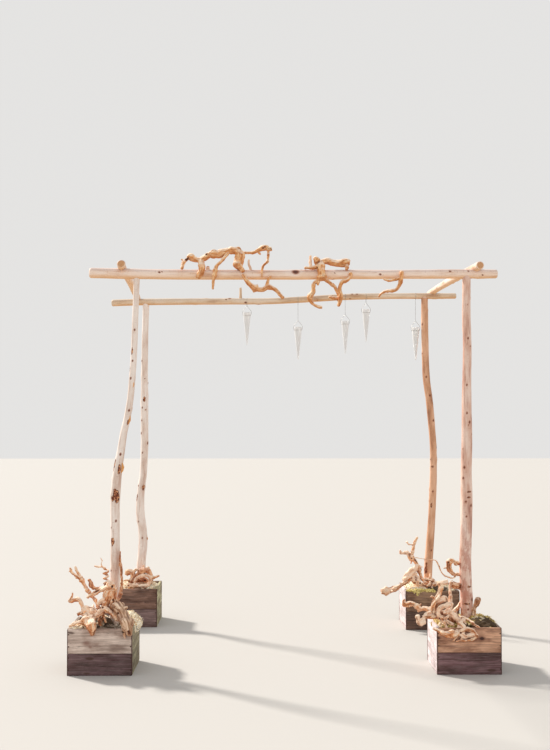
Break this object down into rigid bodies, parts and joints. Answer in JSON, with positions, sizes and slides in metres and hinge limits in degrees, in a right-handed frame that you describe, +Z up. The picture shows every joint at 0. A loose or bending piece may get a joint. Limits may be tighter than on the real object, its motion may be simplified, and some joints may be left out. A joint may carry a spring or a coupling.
{
  "type": "garden arbor",
  "caption": "Rustic ceremony arbor: crooked poles standing in square board planters, a top frame of round beams, dead branches laid over it and slim glass cones hung inside",
  "frame": {"origin": "on the ground, at the centre of the arbor's plan", "axes": "+Z up, +Y from the front beam to the back beam, +X to the right seen from the front"},
  "size_m": [2.7711, 1.9403, 2.73],
  "materials": {
    "peeled_wood": "peeled, weathered",
    "pale_bark": "pale bark with knots",
    "tan_bark": "tan bark with knots",
    "dead_wood": "bleached dead wood",
    "grey_board": "weathered sawn board",
    "dry_packing": "dry moss over soil and gravel",
    "clear_glass": "clear",
    "steel_wire": "thin wire"
  },
  "bodies": {
    "root": {"front_beam": "peeled_wood", "back_beam": "peeled_wood", "left_beam": "peeled_wood", "right_beam": "peeled_wood", "planter_front_left_front": "grey_board", "planter_front_left_back": "grey_board", "planter_front_left_left": "grey_board", "planter_front_left_right": "grey_board", "planter_front_left_floor": "grey_board", "pole_front_left": "pale_bark", "branch_front_left": "dead_wood", "fill_front_left": "dry_packing", "planter_front_right_front": "grey_board", "planter_front_right_back": "grey_board", "planter_front_right_left": "grey_board", "planter_front_right_right": "grey_board", "planter_front_right_floor": "grey_board", "pole_front_right": "pale_bark", "branch_front_right": "dead_wood", "fill_front_right": "dry_packing", "planter_back_left_front": "grey_board", "planter_back_left_back": "grey_board", "planter_back_left_left": "grey_board", "planter_back_left_right": "grey_board", "planter_back_left_floor": "grey_board", "pole_back_left": "pale_bark", "branch_back_left": "dead_wood", "fill_back_left": "dry_packing", "planter_back_right_front": "grey_board", "planter_back_right_back": "grey_board", "planter_back_right_left": "grey_board", "planter_back_right_right": "grey_board", "planter_back_right_floor": "grey_board", "pole_back_right": "tan_bark", "branch_back_right": "dead_wood", "fill_back_right": "dry_packing", "arch_branch": "dead_wood", "low_branch": "dead_wood", "wrapped_branch": "dead_wood", "slung_branch": "dead_wood", "end_branch": "dead_wood", "glass_cone_1": "clear_glass", "hanger_1": "steel_wire", "glass_cone_2": "clear_glass", "hanger_2": "steel_wire", "glass_cone_3": "clear_glass", "hanger_3": "steel_wire", "glass_cone_4": "clear_glass", "hanger_4": "steel_wire", "glass_cone_5": "clear_glass", "hanger_5": "steel_wire"}
  },
  "joints": []
}
